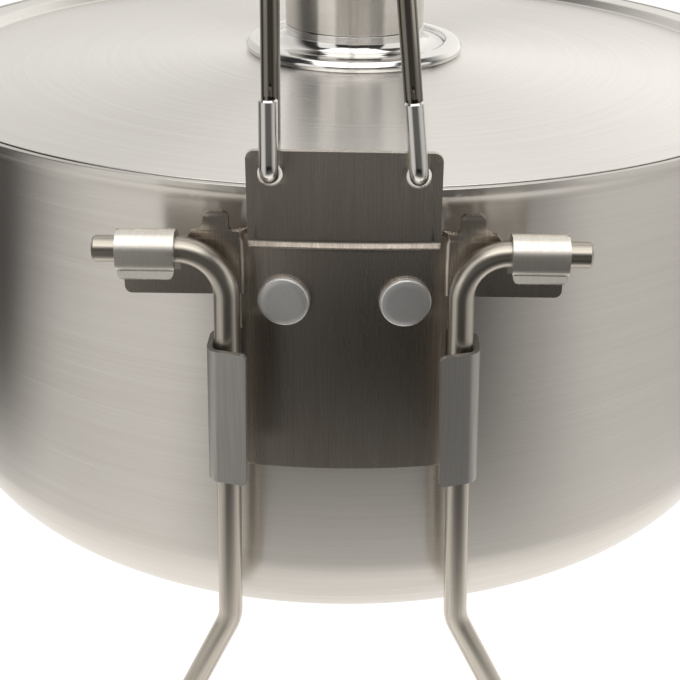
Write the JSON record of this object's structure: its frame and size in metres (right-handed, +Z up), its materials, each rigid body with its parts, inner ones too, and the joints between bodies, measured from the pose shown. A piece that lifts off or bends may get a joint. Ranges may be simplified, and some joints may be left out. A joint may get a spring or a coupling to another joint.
{
  "type": "camping cooking pot with lid",
  "caption": "Stainless camping pot with a recessed lid, knob, hooked wire bails and folding wire handles that hinge in riveted brackets and clip down below the base.",
  "frame": {"origin": "on the pot's axis at the height it stands on, which is the underside of the clipped-down handle loops", "axes": "+Z up along the pot's axis, -Y towards the pictured front bracket, +X to the right seen from the front"},
  "size_m": [0.1886, 0.2068, 0.2827],
  "materials": {
    "pot_steel": "circumferentially brushed stainless steel, satin",
    "lid_steel": "turn-brushed stainless steel, satin",
    "plate_steel": "stainless sheet with a fine vertical grain, darker",
    "clip_steel": "spring stainless sheet, fine grain",
    "rivet_steel": "satin rivet heads with bright rims",
    "wire_steel": "drawn stainless wire, satin with lengthwise streaks",
    "bail_steel": "smooth bright drawn wire",
    "knob_polish": "mirror-polished flared foot",
    "knob_steel": "satin stem and cap",
    "fastener_steel": "plain stainless screw, washer and insert"
  },
  "bodies": {
    "pot": {"pot_shell": "pot_steel", "front_clip_plate": "clip_steel", "front_bracket": "plate_steel", "front_bail_plate": "plate_steel", "front_rivets": "rivet_steel", "rear_clip_plate": "clip_steel", "rear_bracket": "plate_steel", "rear_bail_plate": "plate_steel", "rear_rivets": "rivet_steel"},
    "lid": {"lid": "lid_steel", "knob_foot": "knob_polish", "knob_stem": "knob_steel", "knob_cap": "knob_steel", "knob_insert": "fastener_steel", "knob_washer": "fastener_steel", "knob_screw": "fastener_steel"},
    "left_bail": {"left_bail": "bail_steel"},
    "right_bail": {"right_bail": "bail_steel"},
    "front_handle": {"front_handle": "wire_steel"},
    "rear_handle": {"rear_handle": "wire_steel"}
  },
  "joints": [
    {"name": "lid_lift", "type": "slide", "parent": "pot", "child": "lid", "axis": [0, 0, 1], "range_m": [0, 0.06]},
    {"name": "left_bail_swing", "type": "hinge", "parent": "pot", "child": "left_bail", "pos_m": [-0.0108, 0, 0.1161], "axis": [0, -1, 0], "range_deg": [0, 105]},
    {"name": "right_bail_swing", "type": "hinge", "parent": "pot", "child": "right_bail", "pos_m": [0.0108, 0, 0.1161], "axis": [0, 1, 0], "range_deg": [0, 110]},
    {"name": "front_handle_swing", "type": "hinge", "parent": "pot", "child": "front_handle", "pos_m": [0, -0.0987, 0.10395], "axis": [-1, 0, 0], "range_deg": [0, 100], "deforming": ["front_clip_plate"]},
    {"name": "rear_handle_swing", "type": "hinge", "parent": "pot", "child": "rear_handle", "pos_m": [0, 0.0987, 0.10395], "axis": [1, 0, 0], "range_deg": [0, 100], "deforming": ["rear_clip_plate"]}
  ]
}
